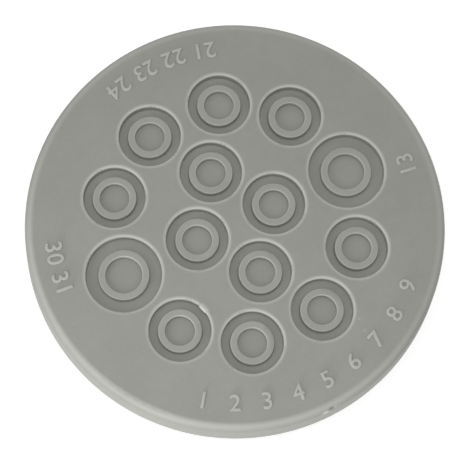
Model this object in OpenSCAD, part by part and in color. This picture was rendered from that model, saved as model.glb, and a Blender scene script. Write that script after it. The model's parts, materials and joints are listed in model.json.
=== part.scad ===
// Snap-in cable grommet for a round panel hole, moulded in one piece from a soft elastomer.
// The face is a shallow dome with fourteen closed cable cells: two large and twelve small.
// Each cell is a ring that stands in a round recess, with a thin membrane to pierce inside it.
// The frame has +Z out of the panel, its origin at the centre of the collar's end, and +X through
// the large cells. The layout is mirrored in both the XZ and the YZ plane.

/* [Panel] */
// Diameter of the round hole in the panel
hole_d = 50.5; // [50:0.1:52]
// Thickest panel that the groove takes
panel_t = 4; // [2:0.5:6]

/* [Flange] */
// Diameter of the flange that covers the hole
flange_d = 60.8; // [58:0.2:68]
// Height of the flange's rim above the panel
rim_h = 6; // [5:0.1:8]
// How far the middle of the face stands above the rim
dome_rise = 1.6; // [1:0.1:2.4]
// Radius of the rounded edge between face and rim
edge_r = 1.4; // [0.8:0.1:2]
// Radius of the small edge at the foot of the rim
foot_r = 0.4; // [0.2:0.1:0.8]

/* [Collar] */
// Gap between the neck and the hole, on each side
neck_gap = 0.25; // [0.1:0.05:0.4]
// Thickness of the collar's wall behind the panel groove
collar_wall = 1.7; // [1.4:0.1:2.2]
// How far the snap bead stands out from the neck
bead_h = 1.5; // [1:0.1:2]
// Distance along the neck from the panel groove to the middle of the bead's nose
ramp_h = 1.6; // [1.2:0.1:2.2]
// Radius of the bead's rounded nose
bead_round_r = 0.8; // [0.5:0.1:1.2]
// Height of the lead-in taper from the collar's end to the middle of the bead's nose
lead_in_h = 5.4; // [4:0.1:7]
// Wall thickness at the collar's end
tip_wall = 1.1; // [0.8:0.1:1.4]
// Radius of the inside corner between collar and plate
root_r = 0.5; // [0.3:0.1:0.6]

/* [Plate] */
// Thickness of the domed plate that holds the cells
plate_t = 6; // [5:0.1:6.6]

/* [Cells] */
// How much larger a large cell's recess is than a small one's, in radius
cell_step = 1; // [0.8:0.05:1.2]
// Width of the recess floor between wall and ring in a small cell
small_moat = 1.32; // [1.2:0.02:1.5]
// Width of the recess floor between wall and ring in a large cell
large_moat = 1.8; // [1.6:0.02:2]
// Wall thickness of the rings
ring_wall = 1.06; // [0.8:0.02:1.2]
// How far a ring's top lies below the face
ring_drop = 0.4; // [0.2:0.05:0.5]
// Depth of the recess around a ring
recess_depth = 1.45; // [1.2:0.05:1.7]
// Depth of the membrane below the ring's top
membrane_depth = 0.9; // [0.7:0.05:1]
// Thickness of the membrane inside a ring
membrane_t = 0.5; // [0.3:0.05:0.7]
// Thickness of the recess floor
floor_t = 0.8; // [0.6:0.05:1]
// Width of the sloping lip around a recess
lip_w = 0.55; // [0.3:0.05:0.6]
// How far the lip falls from the face to the recess's wall
lip_drop = 0.15; // [0.05:0.01:0.2]
// Radius of the rounded edges on top of a ring
ring_edge_r = 0.2; // [0.1:0.02:0.34]
// Radius of the corners at the foot of the recess
recess_corner_r = 0.2; // [0.1:0.05:0.25]

/* [Layout] */
// Distance between the large recesses and the outside of the neck
neck_margin = 1.65; // [1.4:0.05:2]
// Width of the land between neighbouring recesses of the outer circle
outer_land = 1.5; // [1.3:0.05:1.7]
// Width of the land between an inner cell and the large cell next to it
large_land = 1.7; // [1.4:0.05:1.9]
// Width of the land between an inner cell and the small cells next to it
small_land = 1.4; // [1.3:0.05:1.6]
// Width of the land in the middle of the face, between the inner cells beside the large ones
middle_land = 3.3; // [3:0.1:3.8]

/* [Wells] */
// How much narrower than its recess the well behind a cell is, on each side
well_margin = 0.6; // [0.5:0.05:0.9]
// How much a well widens from its top to its mouth, on each side
well_draft = 0.15; // [0.05:0.05:0.2]
// Width of the chamfer at a well's mouth
well_chamfer = 0.25; // [0.1:0.05:0.3]

/* [Hidden] */

fine = 48;
// how far a cutting shape runs past the surface that it opens
over = 1;
hair = 0.004;

// collar
neck_r = hole_d / 2 - neck_gap;
bead_r = neck_r + bead_h;
collar_inner_r = neck_r - collar_wall;
tip_r = collar_inner_r + tip_wall;
nose = [bead_r - bead_round_r, lead_in_h];
groove_z = lead_in_h + ramp_h;
panel_z = groove_z + panel_t;

// face: a sphere that stands dome_rise above the rim where the rounded edge begins
flange_r = flange_d / 2;
chord_r = flange_r - edge_r;
dome_r = (pow(chord_r, 2) + pow(dome_rise, 2)) / (2 * dome_rise);
dome_z = panel_z + rim_h + dome_rise - dome_r;

// cells: across the face, each half of the neck holds a large recess, a small one and their lands
small_r = (neck_r - neck_margin - 2 * cell_step - large_land - middle_land / 2) / 4;
large_r = small_r + cell_step;
small_ring_r = small_r - small_moat;
large_ring_r = large_r - large_moat;
// a lip's section is an arc that is level with the face on its outside
lip_arc_r = (pow(lip_w, 2) + pow(lip_drop, 2)) / (2 * lip_drop);

// places, as [x, y, recess radius, ring radius]; one quarter is worked out and then mirrored
pitch_r = neck_r - neck_margin - large_r;
first_angle = 2 * asin((large_r + small_r + outer_land) / (2 * pitch_r));
second_angle = first_angle + 2 * asin((2 * small_r + outer_land) / (2 * pitch_r));
inner_x = middle_land / 2 + small_r;
inner_y = pitch_r * sin(second_angle)
        - sqrt(pow(2 * small_r + small_land, 2) - pow(pitch_r * cos(second_angle), 2));
OUTER_CELLS = [
    for (side = [-1, 1], angle = [first_angle, second_angle], turn = [0, 180])
        [pitch_r * cos(side * angle + turn), pitch_r * sin(side * angle + turn), small_r, small_ring_r]
];
LARGE_CELLS = [for (side = [-1, 1]) [side * pitch_r, 0, large_r, large_ring_r]];
INNER_CELLS = [
    for (side = [-1, 1], place = [[inner_x, 0], [0, inner_y]])
        [side * place.x, side * place.y, small_r, small_ring_r]
];
CELLS = concat(LARGE_CELLS, OUTER_CELLS, INNER_CELLS);

// Moves its children to a point of the dome, with +Z along the dome's outward normal there.
module on_dome(x, y) {
    lean = asin(norm([x, y]) / dome_r);
    translate([0, 0, dome_z])
        rotate([0, lean, atan2(y, x)])
            translate([0, 0, dome_r])
                children();
}

// Point where a line from p touches the circle of radius r around c, to the left (1) or right (-1).
function touch(p, c, r, side) =
    let (d = norm(c - p), away = (p - c) / d, turn = side * acos(r / d))
    c + r * [
        away.x * cos(turn) - away.y * sin(turn),
        away.x * sin(turn) + away.y * cos(turn)
    ];

// Round body under a dome around the face's centre, with a rounded edge between dome and wall.
// The edge's circle rises a hair above the dome, so that the two cross and don't just touch.
module domed_body(wall_r, top_r, round_r, low_z) {
    round_x = wall_r - round_r;
    round_z = dome_z + sqrt(pow(top_r - round_r + hair, 2) - pow(round_x, 2));
    intersection() {
        rotate_extrude($fn = 2 * fine) {
            translate([0, low_z]) square([round_x, round_z + 2 * round_r + dome_rise + over - low_z]);
            translate([0, low_z]) square([wall_r, round_z - low_z]);
            translate([round_x, round_z]) circle(round_r, $fn = fine);
        }
        translate([0, 0, dome_z]) rotate([90, 0, 0]) sphere(top_r, $fn = 6 * fine);
    }
}

module flange() {
    domed_body(flange_r, dome_r, edge_r, panel_z + foot_r);
    rotate_extrude($fn = 2 * fine) {
        translate([0, panel_z]) square([flange_r - foot_r, 2 * foot_r]);
        translate([flange_r - foot_r, panel_z + foot_r]) circle(foot_r, $fn = fine);
    }
}

// Neck, snap bead and lead-in taper, still solid inside.
module collar() {
    tip = [tip_r, 0];
    groove = [neck_r, groove_z];
    rotate_extrude($fn = 2 * fine) {
        polygon([
            [0, 0],
            tip,
            touch(tip, nose, bead_round_r, 1),
            touch(groove, nose, bead_round_r, -1),
            groove,
            [neck_r, panel_z + over],
            [0, panel_z + over]
        ]);
        translate(nose) circle(bead_round_r, $fn = fine);
    }
}

module blank() {
    difference() {
        union() {
            flange();
            collar();
        }
        domed_body(collar_inner_r, dome_r - plate_t, root_r, -over);
    }
}

// Half section of what a cell takes out of the face, with the ring left standing in it.
module pocket_section(recess_r, ring_r) {
    bore_r = ring_r - ring_wall;
    // the face falls this far below the cell's own plane at the outside of the lip
    sag = dome_r - sqrt(pow(dome_r, 2) - pow(recess_r + lip_w, 2));
    difference() {
        translate([0, -recess_depth]) square([recess_r + lip_w, recess_depth + over]);
        // wall of the recess with its sloping lip
        intersection() {
            translate([recess_r, -recess_depth]) square([lip_w + over, recess_depth]);
            union() {
                translate([recess_r, -sag - lip_drop - recess_depth])
                    square([lip_w + over, recess_depth]);
                translate([recess_r + lip_w, -sag - lip_arc_r]) circle(lip_arc_r, $fn = 2 * fine);
            }
        }
        // ring, rounded on top
        translate([bore_r, -recess_depth])
            square([ring_wall, recess_depth - ring_drop - ring_edge_r]);
        translate([bore_r + ring_edge_r, -recess_depth])
            square([ring_wall - 2 * ring_edge_r, recess_depth - ring_drop]);
        for (r = [bore_r + ring_edge_r, ring_r - ring_edge_r])
            translate([r, -ring_drop - ring_edge_r]) circle(ring_edge_r, $fn = fine);
        // membrane
        translate([0, -recess_depth])
            square([bore_r + ring_edge_r, recess_depth - ring_drop - membrane_depth]);
        // corners at the foot of the recess
        recess_corner(ring_r, 1);
        recess_corner(recess_r, -1);
    }
}

// Fills a corner of the recess floor beside the wall at radius r, on its outer (1) or inner (-1) side.
module recess_corner(r, side) {
    translate([r, -recess_depth])
        mirror([side < 0 ? 1 : 0, 0])
            difference() {
                square(recess_corner_r);
                translate([recess_corner_r, recess_corner_r]) circle(recess_corner_r, $fn = fine);
            }
}

// Half section of the stepped well behind a cell.
module well_section(recess_r, ring_r) {
    bore_r = ring_r - ring_wall;
    well_r = recess_r - well_margin;
    top_z = -recess_depth - floor_t;
    polygon([
        [0, -ring_drop - membrane_depth - membrane_t],
        [bore_r, -ring_drop - membrane_depth - membrane_t],
        [bore_r, top_z],
        [well_r - well_draft, top_z],
        [well_r, well_chamfer - plate_t],
        [well_r + well_chamfer + over, -plate_t - over],
        [0, -plate_t - over]
    ]);
}

// What a cell takes out of the blank, turned so that its seam lies on no mirror plane of the part.
module cell(recess_r, ring_r) {
    rotate([0, 0, 45]) {
        rotate_extrude($fn = fine) pocket_section(recess_r, ring_r);
        rotate_extrude($fn = fine) well_section(recess_r, ring_r);
    }
}

module grommet() {
    color("#959590")
        difference() {
            blank();
            for (c = CELLS) on_dome(c[0], c[1]) cell(c[2], c[3]);
        }
}

grommet();
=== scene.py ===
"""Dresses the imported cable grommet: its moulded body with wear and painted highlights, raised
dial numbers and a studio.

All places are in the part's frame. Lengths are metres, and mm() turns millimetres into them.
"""

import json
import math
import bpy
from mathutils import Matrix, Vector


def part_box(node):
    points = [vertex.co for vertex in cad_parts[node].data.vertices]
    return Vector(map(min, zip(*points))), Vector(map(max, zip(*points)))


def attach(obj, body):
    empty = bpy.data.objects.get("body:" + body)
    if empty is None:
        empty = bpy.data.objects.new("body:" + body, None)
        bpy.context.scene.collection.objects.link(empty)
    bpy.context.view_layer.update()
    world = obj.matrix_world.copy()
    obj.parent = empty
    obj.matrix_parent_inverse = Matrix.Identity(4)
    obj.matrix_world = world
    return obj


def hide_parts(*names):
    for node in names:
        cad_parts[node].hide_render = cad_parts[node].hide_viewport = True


bl_info = {
    "name": "Cable grommet",
    "version": (1, 0, 0),
    "blender": (4, 5, 0),
    "location": "View3D > Sidebar > Grommet",
    "description": "Moulded body, raised dial numbers and studio for the packed cable grommet",
    "category": "Object",
}

import bmesh
import bpy
from bpy.props import FloatProperty, FloatVectorProperty, PointerProperty
from mathutils import Matrix, Vector
from mathutils.geometry import intersect_point_line

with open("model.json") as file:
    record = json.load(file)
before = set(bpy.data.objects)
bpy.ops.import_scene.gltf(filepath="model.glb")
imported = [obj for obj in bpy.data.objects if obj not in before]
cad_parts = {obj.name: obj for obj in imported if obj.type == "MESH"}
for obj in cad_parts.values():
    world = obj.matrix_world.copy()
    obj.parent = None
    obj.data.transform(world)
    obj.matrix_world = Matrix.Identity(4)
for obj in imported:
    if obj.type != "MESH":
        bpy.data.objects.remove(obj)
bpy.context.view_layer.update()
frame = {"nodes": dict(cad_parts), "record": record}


def mm(value):
    """Millimetres as metres."""
    return value / 1000


def hex_colour(code):
    """An sRGB hex colour as the linear values that Blender works with."""
    parts = [int(code[i:i + 2], 16) / 255 for i in (1, 3, 5)]
    return tuple(c / 12.92 if c <= 0.04045 else ((c + 0.055) / 1.055) ** 2.4 for c in parts)


# The face is a sphere round a point on the Z axis, as in the part's source.
PART_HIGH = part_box("grommet")[1]
APEX_Z = PART_HIGH.z
FLANGE_R = PART_HIGH.x
EDGE_R = mm(1.4)
DOME_RISE = mm(1.6)
CHORD_R = FLANGE_R - EDGE_R
DOME_R = (CHORD_R ** 2 + DOME_RISE ** 2) / (2 * DOME_RISE)
DOME_CENTRE = Vector((0, 0, APEX_Z - DOME_R))
# seen in section, the rim's rounded edge is an arc round a point at this height
EDGE_Z = DOME_CENTRE.z + math.sqrt((DOME_R - EDGE_R) ** 2 - CHORD_R ** 2)

# the section of a cell, also as in the part's source
LIP_W, LIP_DROP = mm(0.55), mm(0.15)
RING_WALL, RING_DROP, RING_EDGE_R = mm(1.06), mm(0.4), mm(0.2)
SMALL_MOAT, LARGE_MOAT = mm(1.32), mm(1.8)

# points of a mesh that are closer than this are one
MERGE_DIST = mm(0.0005)

# the specks on the face, by x and y
SPECKS = ((mm(9.76), mm(-22.27)), (mm(9.75), mm(-20.43)))
SPECK_R = mm(0.3)

# the dial is numbered only along some stretches of the rim
NUMBERS = (*range(1, 10), 13, *range(21, 25), 30, 31)

# how the camera sees the part, in degrees: turned about its own axis, then leaning to the right,
# then leaning back
PICTURE_TURN, PICTURE_LEAN, PICTURE_TILT = 25.98, 1.49, -14.09
# how far right and up of the picture's middle the middle of the face is
PICTURE_SHIFT = Vector((mm(0.09), mm(1.98), 0))

LAMP_DISTANCE = 0.6
FLOOR_HALF = 1.5
# the share of white that the floor adds for the camera, on top of the light that falls on it
FLOOR_GLOW = 0.68


def on_face(x, y):
    """The point of the domed face above x and y, and the face's outward normal there."""
    point = Vector((x, y, DOME_CENTRE.z + math.sqrt(DOME_R ** 2 - x * x - y * y)))
    return point, (point - DOME_CENTRE).normalized()


def on_edge(turn, lift):
    """The point of the rim's rounded edge at an angle round the part, lift up from the wall."""
    out = Vector((math.cos(turn), math.sin(turn), 0))
    normal = out * math.cos(lift) + Vector((0, 0, math.sin(lift)))
    return out * CHORD_R + Vector((0, 0, EDGE_Z)) + normal * EDGE_R, normal


class BodySettings(bpy.types.PropertyGroup):
    """Finish, wear and painted highlights of the moulded body."""

    colour: FloatVectorProperty(
        name="Elastomer", description="Colour of the moulded elastomer", subtype="COLOR", size=3,
        min=0, max=1, default=hex_colour("#989892"))
    # the pale colour of torn or stretched elastomer, also used for the painted highlights on edges
    # and figures' tops
    scuff_colour: FloatVectorProperty(
        name="Stressed elastomer and painted highlights", description="Colour where the surface is torn or stretched, also painting highlights",
        subtype="COLOR", size=3, min=0, max=1, default=hex_colour("#DADAD4"))
    grain: FloatProperty(
        name="Grain", description="Size of the grain that the eroded mould leaves",
        unit="LENGTH", default=mm(0.32), min=mm(0.1), max=mm(1), precision=5)
    roughness: FloatProperty(
        name="Roughness", description="How matt the skin is", subtype="FACTOR",
        default=0.55, min=0, max=1)
    # strength of the painted highlights on the lips, the rings' edges and the rim's edge
    rub: FloatProperty(
        name="Painted edge highlights", description="How pale the lips, the rings' edges and the rim are",
        subtype="FACTOR", default=0.36, min=0, max=1)
    nick_depth: FloatProperty(
        name="Nick depth", description="Depth of the nick in the rim's edge",
        unit="LENGTH", default=mm(0.45), min=0, max=mm(0.6), precision=5)
    tear_lean: FloatProperty(
        name="Tear lean", description="How far the torn lip leans into its recess",
        unit="LENGTH", default=mm(0.4), min=0, max=mm(0.5), precision=5)


class NumberSettings(bpy.types.PropertyGroup):
    """The raised dial numbers round the rim."""

    cap_height: FloatProperty(
        name="Height", description="Height of a figure", unit="LENGTH",
        default=mm(2.5), min=mm(1), max=mm(4), precision=5)
    ring_radius: FloatProperty(
        name="Radius", description="Distance from the part's middle to a figure's middle",
        unit="LENGTH", default=mm(26.5), min=mm(25), max=mm(28), precision=5)
    pitch: FloatProperty(
        name="Pitch", description="Angle from one number to the next", subtype="ANGLE",
        default=math.radians(10), min=math.radians(8), max=math.radians(15))
    start: FloatProperty(
        name="Start", description="Angle of number one from the part's X axis",
        subtype="ANGLE", default=math.radians(234), min=0, max=math.radians(360))
    relief: FloatProperty(
        name="Relief", description="Thickness of a figure without its bevels, half of it sunk in",
        unit="LENGTH", default=mm(0.26), min=mm(0.05), max=mm(0.5), precision=5)
    thinning: FloatProperty(
        name="Thinning", description="How much a stroke's side is moved in",
        unit="LENGTH", default=mm(0.01), min=0, max=mm(0.1), precision=5)
    # strength of the painted highlight on the figures' tops
    rub: FloatProperty(
        name="Painted top highlights", description="How pale the figures' tops are", subtype="FACTOR",
        default=0.5, min=0, max=1)


class StageSettings(bpy.types.PropertyGroup):
    """Camera, lamps and floor."""

    camera_distance: FloatProperty(
        name="Camera distance", description="From the middle of the face to the camera",
        unit="LENGTH", default=mm(500), min=mm(200), max=2)
    lens: FloatProperty(
        name="Lens", description="Focal length on a 36 mm sensor, in millimetres",
        default=266.2, min=50, max=500)
    key_power: FloatProperty(
        name="Key power", description="Power of the low lamp at the lower left, in watts",
        default=1.9, min=0, max=50)
    side_power: FloatProperty(
        name="Side power", description="Power of the higher lamp at the left, in watts",
        default=0.7, min=0, max=50)
    top_power: FloatProperty(
        name="Top power", description="Power of the soft lamp overhead, in watts",
        default=0.86, min=0, max=50)
    sky: FloatProperty(
        name="Sky", description="Strength of the even light from all round",
        default=0.48, min=0, max=2)
    floor_colour: FloatVectorProperty(
        name="Floor", description="Colour of the floor", subtype="COLOR", size=3, min=0, max=1,
        default=hex_colour("#CBCBCA"))


def add_node(tree, kind, inputs=None, **fields):
    """Adds a node, sets its fields, and sets or links its inputs."""
    node = tree.nodes.new(kind)
    for name, value in fields.items():
        setattr(node, name, value)
    for name, value in (inputs or {}).items():
        if isinstance(value, bpy.types.NodeSocket):
            tree.links.new(value, node.inputs[name])
        else:
            node.inputs[name].default_value = value
    return node


def new_material(name):
    """A node material that holds only its output."""
    material = bpy.data.materials.new(name)
    material.use_nodes = True
    tree = material.node_tree
    tree.nodes.clear()
    return material, tree, add_node(tree, "ShaderNodeOutputMaterial")


def per_metre(size):
    """Scale of a pattern whose features are this large."""
    return 1 / size


def moulded_elastomer(settings):
    """TPE moulded against a spark-eroded steel tool.

    The eroded tool leaves an even matt skin with a soft sheen and no gloss, slightly uneven in
    tone where the melt cooled at different speeds. Where it is torn or stretched it turns pale,
    and the same pale colour paints highlights onto the lips, the rings' edges, the rim's edge and
    the raised figures' tops.
    """
    material, tree, output = new_material("TPE, moulded matt")
    place = add_node(tree, "ShaderNodeTexCoord").outputs["Object"]
    # tone: flow marks about 9 mm long, and a finer cloudiness of about 1.5 mm, which add up to
    # about 1 and move the colour by a twentieth each way
    flow = add_node(tree, "ShaderNodeTexNoise", {
        "Vector": place, "Scale": per_metre(mm(9)), "Detail": 2.0, "Roughness": 0.5})
    cloud = add_node(tree, "ShaderNodeTexNoise", {
        "Vector": place, "Scale": per_metre(mm(1.5)), "Detail": 3.0, "Roughness": 0.8})
    tone = add_node(tree, "ShaderNodeMath", {0: flow.outputs[0], 1: cloud.outputs[0]},
                    operation="ADD")
    spread = add_node(tree, "ShaderNodeMapRange", {
        "Value": tone.outputs[0], "From Min": 0.7, "From Max": 1.3, "To Min": 0.95,
        "To Max": 1.05})
    skin = add_node(tree, "ShaderNodeVectorMath", {
        0: settings.colour, "Scale": spread.outputs[0]}, operation="SCALE")
    # pale where torn or stretched, and painted highlights on the lips, ring edges, rim edge and
    # figures' tops
    whitening_and_highlight = add_node(tree, "ShaderNodeAttribute", attribute_name="whitening_and_highlight")
    colour = add_node(tree, "ShaderNodeMix", {
        "Factor": whitening_and_highlight.outputs["Fac"], "A": skin.outputs[0],
        "B": (*settings.scuff_colour, 1)}, data_type="RGBA")
    # the skin: the tool's grain, drawn coarser than the real one so that it shows
    grain = add_node(tree, "ShaderNodeTexNoise", {
        "Vector": place, "Scale": per_metre(settings.grain), "Detail": 2.0, "Roughness": 0.6})
    sheen = add_node(tree, "ShaderNodeMapRange", {
        "Value": cloud.outputs[0], "To Min": settings.roughness - 0.05,
        "To Max": settings.roughness + 0.05})
    bump = add_node(tree, "ShaderNodeBump", {
        "Height": grain.outputs[0], "Strength": 0.8, "Distance": mm(0.03)})
    shader = add_node(tree, "ShaderNodeBsdfPrincipled", {
        "Base Color": colour.outputs["Result"], "Roughness": sheen.outputs[0], "IOR": 1.5,
        "Normal": bump.outputs[0]})
    tree.links.new(shader.outputs[0], output.inputs["Surface"])
    return material


def refine(bm, centre, reach, length):
    """Halves the edges near a point until none there is longer than length."""
    # nine rounds bring the longest edge of the part down to about a tenth of a millimetre
    for _ in range(9):
        edges = []
        for edge in bm.edges:
            a, b = edge.verts[0].co, edge.verts[1].co
            if (a - b).length <= length:
                continue
            near, share = intersect_point_line(centre, a, b)
            near = a if share < 0 else b if share > 1 else near
            if (near - centre).length < reach:
                edges.append(edge)
        if not edges:
            return
        bmesh.ops.subdivide_edges(bm, edges=edges, cuts=1)
        bmesh.ops.triangulate(bm, faces=[f for f in bm.faces if len(f.verts) > 3])


def fall(distance, reach):
    """1 at the middle of a mark and 0 at its reach, level at both ends."""
    share = min(distance / reach, 1)
    return 1 - share * share * (3 - 2 * share)


def rub_edges(bm, whitening_and_highlight, amount):
    """Paints highlights onto the lips of the recesses and the edges of the rings, as a paler
    colour.
    """
    # across a lip the painted highlight rises steeply from the recess and fades out towards the
    # face
    lip_rise, lip_most, lip_fade = 9, 1.5, 1.9
    # the painted highlight on a ring is brightest half way round each rounded edge, and weaker on
    # the flat top between
    ring_top, ring_edge = 0.2, 3
    for cell in frame["record"]["mounts"]:
        if cell["kind"] != "bore":
            continue
        up = Vector(cell["axis"])
        middle = DOME_CENTRE + up * DOME_R
        bore_r = mm(cell["dims"]["r_mm"])
        ring_r = bore_r + RING_WALL
        recess_r = ring_r + (LARGE_MOAT if cell["name"].startswith("large") else SMALL_MOAT)
        for vert in bm.verts:
            offset = vert.co - middle
            if offset.length > recess_r + 2 * LIP_W:
                continue
            below = -offset.dot(up)
            radius = (offset + up * below).length
            depth = DOME_R - (vert.co - DOME_CENTRE).length
            # shares of the way out over the lip, and in over the ring's nearer rounded edge
            over_lip = (radius - recess_r) / LIP_W
            over_edge = min(radius - bore_r, ring_r - radius) / RING_EDGE_R
            # the small allowances take in the points right at a lip's foot or on a ring's wall
            if 0 < over_lip < 1 and depth < LIP_DROP + mm(0.02):
                vert[whitening_and_highlight] = amount * min(
                    lip_most, lip_rise * over_lip, lip_fade * (1 - over_lip))
            elif over_edge > -0.01 and below < RING_DROP + RING_EDGE_R:
                vert[whitening_and_highlight] = amount * (ring_top + max(ring_edge * over_edge * (1 - over_edge), 0))


def rub_rim(bm, whitening_and_highlight, amount):
    """Paints a highlight onto the rim's rounded edge, brightest half way round it."""
    most = amount * 0.8
    for vert in bm.verts:
        share = (vert.co.xy.length - CHORD_R) / EDGE_R
        if share > 0 and vert.co.z > EDGE_Z:
            vert[whitening_and_highlight] = most * fall(abs(share - 0.5), 0.5)


def speck(bm, whitening_and_highlight, x, y):
    """Leaves a small pale speck on the face."""
    most = 0.28
    centre, _ = on_face(x, y)
    refine(bm, centre, reach=SPECK_R, length=SPECK_R / 2)
    for vert in bm.verts:
        distance = (vert.co - centre).length
        if distance < SPECK_R:
            vert[whitening_and_highlight] = max(vert[whitening_and_highlight], most * fall(distance, SPECK_R))


def nick_rim(bm, whitening_and_highlight, depth):
    """Cuts a short nick into the rim's rounded edge, with a stretched burr beside it."""
    # the nick's angle round the part, and how far up the rounded edge it lies
    turn, lift = math.radians(-88.6), math.radians(27)
    # half widths across the rim, and how many times longer the marks are along it
    pit_r, pit_stretch = mm(0.38), 2.1
    burr_r, burr_stretch, burr_height = mm(0.4), 2.6, mm(0.12)
    # from the nick to the burr, back along the rim and down across it
    burr_back, burr_down = mm(0.99), mm(0.2)
    centre, normal = on_edge(turn, lift)
    along = Vector((0, 0, 1)).cross(normal).normalized()
    across = normal.cross(along)
    burr = centre - along * burr_back - across * burr_down
    # the mesh is made fine round a point between the two
    refine(bm, centre - along * mm(0.5), reach=mm(1.6), length=mm(0.14))
    for vert in bm.verts:
        offset = vert.co - centre
        # both marks end well inside this distance
        if offset.length > mm(3):
            continue
        pit = fall(math.hypot(offset.dot(along) / pit_stretch, offset.dot(across)), pit_r)
        offset = vert.co - burr
        ridge = fall(math.hypot(offset.dot(along) / burr_stretch, offset.dot(across)), burr_r)
        vert.co += normal * (ridge * burr_height - pit * depth)
        vert[whitening_and_highlight] = max(vert[whitening_and_highlight] * (1 - pit), ridge)


def tear_lip(bm, whitening_and_highlight, lean):
    """Leans a torn bit of one recess's lip into the recess and stretches it pale."""
    # the torn strip: its angle round the cell, its distance from the cell's middle, and how far
    # its middle line runs along the lip each way
    turn, radius, half_length = math.radians(17.3), mm(4.74), mm(0.45)
    # how far round that line the lip gives, and how much of the lean it also stands up
    give, rise = mm(0.6), 0.3
    cell = next(m for m in frame["record"]["mounts"] if m["name"] == "first_cell_lower_left")
    middle, up = Vector(cell["pos_m"]), Vector(cell["axis"])
    level = Matrix.Rotation(up.angle(Vector((0, 0, 1))), 3, Vector((0, 0, 1)).cross(up))
    out = level @ Vector((math.cos(turn), math.sin(turn), 0))
    along = up.cross(out)
    lip, _ = on_face(*(middle + out * radius).xy)
    refine(bm, lip, reach=mm(1.9), length=mm(0.12))
    for vert in bm.verts:
        offset = vert.co - lip
        # the lip gives well inside this distance
        if offset.length > mm(2):
            continue
        beyond = max(abs(offset.dot(along)) - half_length, 0)
        pull = fall(math.hypot(beyond, offset.dot(out), offset.dot(up)), give)
        vert.co += (up * rise - out) * lean * pull
        vert[whitening_and_highlight] = max(vert[whitening_and_highlight], pull)


def to_mesh(bm, name):
    """Turns a finished bmesh into a mesh of that name."""
    mesh = bpy.data.meshes.new(name)
    bm.to_mesh(mesh)
    bm.free()
    return mesh


class GROMMET_OT_body(bpy.types.Operator):
    """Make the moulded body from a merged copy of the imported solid, with its nick and torn lip"""

    bl_idname = "grommet.body"
    bl_label = "Moulded body"

    def execute(self, context):
        settings = context.scene.grommet_body
        bm = bmesh.new()
        bm.from_mesh(frame["nodes"]["grommet"].data)
        bmesh.ops.remove_doubles(bm, verts=bm.verts, dist=MERGE_DIST)
        # pale where torn or stretched, plus painted highlights on the lips, the rings' edges and
        # the rim's edge
        whitening_and_highlight = bm.verts.layers.float.new("whitening_and_highlight")
        # painted highlights on the lips and the rings' edges
        rub_edges(bm, whitening_and_highlight, settings.rub)
        # a painted highlight on the rim's rounded edge
        rub_rim(bm, whitening_and_highlight, settings.rub)
        nick_rim(bm, whitening_and_highlight, settings.nick_depth)
        tear_lip(bm, whitening_and_highlight, settings.tear_lean)
        for x, y in SPECKS:
            speck(bm, whitening_and_highlight, x, y)
        mesh = to_mesh(bm, "grommet_body")
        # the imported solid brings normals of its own, which would round off its sharp corners
        if mesh.has_custom_normals:
            mesh.attributes.remove(mesh.attributes["custom_normal"])
        mesh.shade_smooth()
        mesh.set_sharp_from_angle(angle=math.radians(40))
        body = add_piece("grommet_body", mesh, moulded_elastomer(settings))
        # large faces set the shading where they run into a rounded edge
        weigh = body.modifiers.new("weighted_normals", "WEIGHTED_NORMAL")
        weigh.mode, weigh.weight, weigh.keep_sharp = "FACE_AREA", 50, True
        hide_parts("grommet")
        return {"FINISHED"}


def add_piece(name, mesh, material):
    """Puts a finished mesh into the scene as a piece of the grommet."""
    piece = bpy.data.objects.new(name, mesh)
    bpy.context.scene.collection.objects.link(piece)
    mesh.materials.clear()
    mesh.materials.append(material)
    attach(piece, "root")
    return piece


def figure(text, settings):
    """A raised figure as a mesh, flat on the XY plane with its middle at the origin."""
    curve = bpy.data.curves.new("figure", "FONT")
    curve.body = text
    # the built-in font's figures are 0.73 of its size high
    curve.size = settings.cap_height / 0.73
    curve.align_x, curve.align_y = "CENTER", "CENTER"
    curve.space_character = 1.04
    curve.resolution_u = 4
    curve.offset = -settings.thinning
    curve.extrude = settings.relief / 2
    curve.bevel_depth = settings.relief / 4
    curve.bevel_resolution = 2
    holder = bpy.data.objects.new("figure", curve)
    bpy.context.scene.collection.objects.link(holder)
    bpy.context.view_layer.update()
    mesh = bpy.data.meshes.new_from_object(
        holder.evaluated_get(bpy.context.evaluated_depsgraph_get()))
    bpy.data.objects.remove(holder)
    bpy.data.curves.remove(curve)
    return mesh


class GROMMET_OT_numbers(bpy.types.Operator):
    """Raise the dial numbers round the rim, at an even pitch, with their tops to the middle"""

    bl_idname = "grommet.numbers"
    bl_label = "Raised numbers"

    def execute(self, context):
        settings = context.scene.grommet_numbers
        bm = bmesh.new()
        for number in NUMBERS:
            turn = settings.start + (number - 1) * settings.pitch
            point, up = on_face(math.cos(turn) * settings.ring_radius,
                                math.sin(turn) * settings.ring_radius)
            top = Vector((-math.cos(turn), -math.sin(turn), 0))
            right = top.cross(up).normalized()
            place = Matrix((right, up.cross(right), up)).transposed().to_4x4()
            place.translation = point
            mesh = figure(str(number), settings)
            mesh.transform(place)
            bm.from_mesh(mesh)
            bpy.data.meshes.remove(mesh)
        bmesh.ops.remove_doubles(bm, verts=bm.verts, dist=MERGE_DIST)
        bmesh.ops.recalc_face_normals(bm, faces=bm.faces)
        # the tops stand out of the face, so a highlight is painted on them as a paler colour
        whitening_and_highlight = bm.verts.layers.float.new("whitening_and_highlight")
        for vert in bm.verts:
            height = (vert.co - DOME_CENTRE).length - DOME_R
            vert[whitening_and_highlight] = settings.rub * min(max(height / settings.relief, 0), 1)
        mesh = to_mesh(bm, "raised_numbers")
        mesh.shade_smooth()
        mesh.set_sharp_from_angle(angle=math.radians(35))
        add_piece("raised_numbers", mesh, moulded_elastomer(context.scene.grommet_body))
        return {"FINISHED"}


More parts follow.
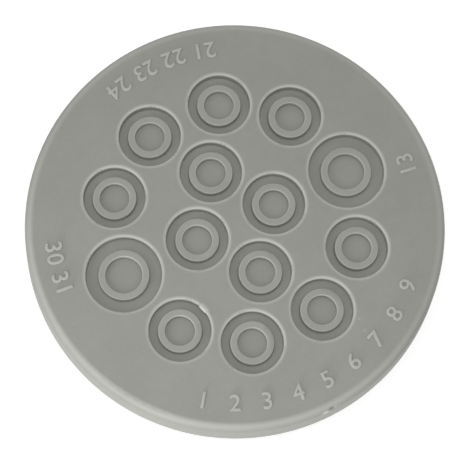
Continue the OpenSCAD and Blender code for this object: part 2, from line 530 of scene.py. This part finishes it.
def towards(azimuth, elevation, distance):
    """A point that far from the face's middle; azimuth is counter-clockwise in the main view."""
    a, e = math.radians(azimuth - PICTURE_TURN), math.radians(elevation)
    return Vector((0, 0, APEX_Z)) + distance * Vector((
        math.cos(a) * math.cos(e), math.sin(a) * math.cos(e), math.sin(e)))


def soft_lamp(name, azimuth, elevation, size, power):
    """A square soft lamp that looks at the middle of the face."""
    light = bpy.data.lights.new(name, "AREA")
    light.shape, light.size, light.energy = "SQUARE", size, power
    lamp = bpy.data.objects.new(name, light)
    bpy.context.scene.collection.objects.link(lamp)
    lamp.location = towards(azimuth, elevation, LAMP_DISTANCE)
    aim = Vector((0, 0, APEX_Z)) - lamp.location
    lamp.rotation_euler = aim.to_track_quat("-Z", "Y").to_euler()


def seen_ray(tree):
    """1 for what the camera sees, directly, in a reflection or through glass."""
    path = add_node(tree, "ShaderNodeLightPath")
    either = add_node(tree, "ShaderNodeMath", {
        0: path.outputs["Is Camera Ray"], 1: path.outputs["Is Glossy Ray"]},
        operation="MAXIMUM")
    return add_node(tree, "ShaderNodeMath", {
        0: either.outputs[0], 1: path.outputs["Is Transmission Ray"]},
        operation="MAXIMUM").outputs[0]


def white_floor(settings):
    """Painted board: an even matt white that keeps a soft shadow and is lifted to white."""
    material, tree, output = new_material("Painted board, matt white")
    place = add_node(tree, "ShaderNodeTexCoord").outputs["Object"]
    fleck = add_node(tree, "ShaderNodeTexNoise", {
        "Vector": place, "Scale": per_metre(mm(4)), "Detail": 2.0})
    rough = add_node(tree, "ShaderNodeMapRange", {
        "Value": fleck.outputs[0], "To Min": 0.75, "To Max": 0.9})
    paint = add_node(tree, "ShaderNodeBsdfPrincipled", {
        "Base Color": (*settings.floor_colour, 1), "Roughness": rough.outputs[0],
        "Specular IOR Level": 0.2})
    glow = add_node(tree, "ShaderNodeMath", {0: seen_ray(tree), 1: FLOOR_GLOW},
                    operation="MULTIPLY")
    tree.links.new(glow.outputs[0], paint.inputs["Emission Strength"])
    paint.inputs["Emission Color"].default_value = (1, 1, 1, 1)
    tree.links.new(paint.outputs[0], output.inputs["Surface"])
    return material


def add_floor(settings):
    """The floor that the part stands on, in the plane Z = 0."""
    bm = bmesh.new()
    bmesh.ops.create_grid(bm, x_segments=8, y_segments=8, size=FLOOR_HALF)
    mesh = to_mesh(bm, "floor")
    mesh.materials.append(white_floor(settings))
    floor = bpy.data.objects.new("floor", mesh)
    bpy.context.scene.collection.objects.link(floor)


def add_sky(settings):
    """Even light from all round, from a sky that the camera sees as white."""
    world = bpy.data.worlds.new("sky")
    bpy.context.scene.world = world
    world.use_nodes = True
    tree = world.node_tree
    tree.nodes.clear()
    shown = add_node(tree, "ShaderNodeMapRange", {
        "Value": seen_ray(tree), "To Min": settings.sky, "To Max": 1.0})
    sky = add_node(tree, "ShaderNodeBackground", {
        "Color": (1, 1, 1, 1), "Strength": shown.outputs[0]})
    out = add_node(tree, "ShaderNodeOutputWorld")
    tree.links.new(sky.outputs[0], out.inputs["Surface"])


def add_camera(settings):
    """The camera, from the side of the face's lower edge, with the part turned in the picture."""
    camera = bpy.data.objects.new("camera", bpy.data.cameras.new("camera"))
    bpy.context.scene.collection.objects.link(camera)
    camera.data.lens = settings.lens
    camera.data.sensor_width = 36
    camera.data.clip_start = mm(10)
    turn = (Matrix.Rotation(math.radians(PICTURE_TILT), 3, "X")
            @ Matrix.Rotation(math.radians(PICTURE_LEAN), 3, "Y")
            @ Matrix.Rotation(math.radians(PICTURE_TURN), 3, "Z"))
    back = turn.transposed()
    place = back @ (Vector((0, 0, settings.camera_distance)) - PICTURE_SHIFT)
    camera.matrix_world = (Matrix.Translation(place + Vector((0, 0, APEX_Z)))
                           @ back.to_4x4())
    bpy.context.scene.camera = camera


class GROMMET_OT_stage(bpy.types.Operator):
    """Set the camera, the soft lamps, the sky and the white floor"""

    bl_idname = "grommet.stage"
    bl_label = "Stage"

    def execute(self, context):
        settings = context.scene.grommet_stage
        add_floor(settings)
        soft_lamp("key_low_left", azimuth=245, elevation=3, size=0.09, power=settings.key_power)
        soft_lamp("overhead", azimuth=270, elevation=88, size=0.3, power=settings.top_power)
        soft_lamp("side_left", azimuth=215, elevation=30, size=0.4, power=settings.side_power)
        add_sky(settings)
        add_camera(settings)
        context.scene.view_settings.view_transform = "Standard"
        return {"FINISHED"}


class GROMMET_PT_panel(bpy.types.Panel):
    """Lists the grommet's pieces and their sizes"""

    bl_idname = "GROMMET_PT_panel"
    bl_label = "Cable grommet"
    bl_space_type = "VIEW_3D"
    bl_region_type = "UI"
    bl_category = "Grommet"

    def draw(self, context):
        for name, operator in STEPS:
            box = self.layout.box()
            box.operator(operator.bl_idname)
            settings = getattr(context.scene, name)
            for field in settings.bl_rna.properties:
                if field.identifier not in ("rna_type", "name"):
                    box.prop(settings, field.identifier)


STEPS = (
    ("grommet_body", GROMMET_OT_body),
    ("grommet_numbers", GROMMET_OT_numbers),
    ("grommet_stage", GROMMET_OT_stage),
)
SETTINGS = {
    "grommet_body": BodySettings,
    "grommet_numbers": NumberSettings,
    "grommet_stage": StageSettings,
}


def register():
    for settings in SETTINGS.values():
        bpy.utils.register_class(settings)
    for _, operator in STEPS:
        bpy.utils.register_class(operator)
    bpy.utils.register_class(GROMMET_PT_panel)
    for name, settings in SETTINGS.items():
        setattr(bpy.types.Scene, name, PointerProperty(type=settings))


def unregister():
    for name in SETTINGS:
        delattr(bpy.types.Scene, name)
    bpy.utils.unregister_class(GROMMET_PT_panel)
    for _, operator in STEPS:
        bpy.utils.unregister_class(operator)
    for settings in SETTINGS.values():
        bpy.utils.unregister_class(settings)


def main():
    """Makes the pieces and the stage."""
    register()
    bpy.ops.grommet.body()
    bpy.ops.grommet.numbers()
    bpy.ops.grommet.stage()


if __name__ == "__main__":
    main()
